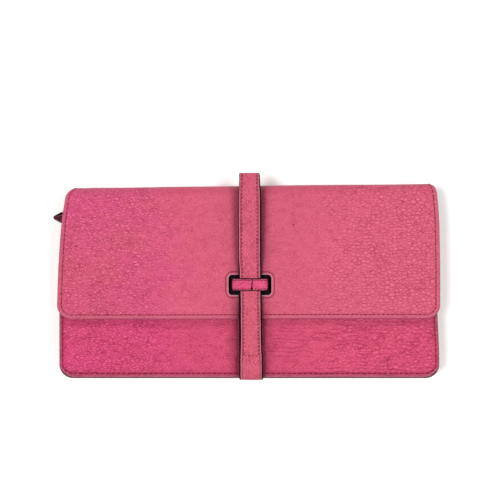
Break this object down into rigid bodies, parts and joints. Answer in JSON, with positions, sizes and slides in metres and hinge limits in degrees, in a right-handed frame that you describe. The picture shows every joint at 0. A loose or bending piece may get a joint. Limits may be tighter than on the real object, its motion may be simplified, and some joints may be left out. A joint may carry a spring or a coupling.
{
  "type": "long wallet",
  "caption": "Long leather wallet: flap held by a strap through a keeper loop, gusseted note compartments, stepped card pockets and a zip pocket on its back.",
  "frame": {"origin": "centre of the back face, on which the closed wallet rests", "axes": "+X along the width, +Y from the bottom seam to the top fold, +Z through the thickness towards the flap"},
  "size_m": [0.2025, 0.1081, 0.0258],
  "materials": {
    "flap_leather": "pebbled, semi-matte, pale worn border",
    "body_leather": "pebbled, semi-matte",
    "strap_leather": "fine grain, semi-matte, black painted edges",
    "keeper_leather": "fine grain, semi-matte",
    "card_leather": "smooth, thin",
    "lining": "fine woven",
    "stiffener": "bonded fibre board",
    "zip_tape": "woven tape",
    "zip_metal": "polished, lightly worn"
  },
  "bodies": {
    "wallet_body": {"back_lower_panel": "body_leather", "back_upper_band": "body_leather", "zip_pocket_lining": "lining", "zip_tape_upper": "zip_tape", "zip_tape_lower": "zip_tape", "zip_teeth_upper": "zip_metal", "zip_teeth_lower": "zip_metal", "zip_top_stop": "zip_metal", "zip_bottom_stop": "zip_metal", "card_backing_rear": "lining", "card_slot_rear_1": "card_leather", "card_slot_rear_2": "card_leather", "card_slot_rear_3": "card_leather", "card_slot_rear_4": "card_leather", "gusset_left": "lining", "gusset_right": "lining"},
    "spine": {"spine_leather": "flap_leather", "spine_lining": "lining"},
    "flap": {"flap_leather": "flap_leather", "flap_stiffener": "stiffener", "flap_lining": "lining"},
    "front": {"front_panel": "body_leather", "front_stiffener": "stiffener", "front_lining": "lining", "card_slot_front_1": "card_leather", "card_slot_front_2": "card_leather", "card_slot_front_3": "card_leather", "card_slot_front_4": "card_leather", "bottom_wall": "body_leather", "keeper_loop": "keeper_leather", "strap_root": "strap_leather"},
    "strap": {"strap_face": "strap_leather", "strap_lining": "strap_leather"},
    "divider": {"note_divider": "lining"},
    "slider": {"zip_slider": "zip_metal"},
    "puller": {"puller_link": "zip_metal", "zip_puller": "strap_leather"}
  },
  "joints": [
    {"name": "spine_fold", "type": "hinge", "parent": "wallet_body", "child": "spine", "pos_m": [0, 0.0485, 0.001], "axis": [-1, 0, 0], "range_deg": [0, 90]},
    {"name": "flap_fold", "type": "hinge", "parent": "spine", "child": "flap", "pos_m": [0, 0.0485, 0.0207], "axis": [-1, 0, 0], "range_deg": [0, 90]},
    {"name": "front_open", "type": "hinge", "parent": "wallet_body", "child": "front", "pos_m": [0, -0.0489, 0.0014], "axis": [1, 0, 0], "range_deg": [0, 12], "deforming": ["gusset_left", "gusset_right"]},
    {"name": "divider_lean", "type": "hinge", "parent": "wallet_body", "child": "divider", "pos_m": [0, -0.0445, 0.0104], "axis": [1, 0, 0], "range_deg": [0, 6]},
    {"name": "strap_swing", "type": "hinge", "parent": "front", "child": "strap", "pos_m": [0, -0.0501, 0.0205], "axis": [1, 0, 0], "range_deg": [0, 175], "deforming": ["strap_face", "strap_lining"]},
    {"name": "zip_slide", "type": "slide", "parent": "wallet_body", "child": "slider", "axis": [1, 0, 0], "range_m": [0, 0.158], "deforming": ["zip_teeth_upper", "zip_teeth_lower"]},
    {"name": "puller_swing", "type": "hinge", "parent": "slider", "child": "puller", "pos_m": [-0.0855, 0.0335, 0.0011], "axis": [0, -1, 0], "range_deg": [0, 120]}
  ],
  "couplings": [
    {"joint": "flap_fold", "follows": "spine_fold", "ratio": 1},
    {"joint": "front_open", "follows": "spine_fold", "ratio": 0.1333},
    {"joint": "divider_lean", "follows": "spine_fold", "ratio": 0.0666},
    {"joint": "strap_swing", "follows": "spine_fold", "ratio": 1.944}
  ]
}
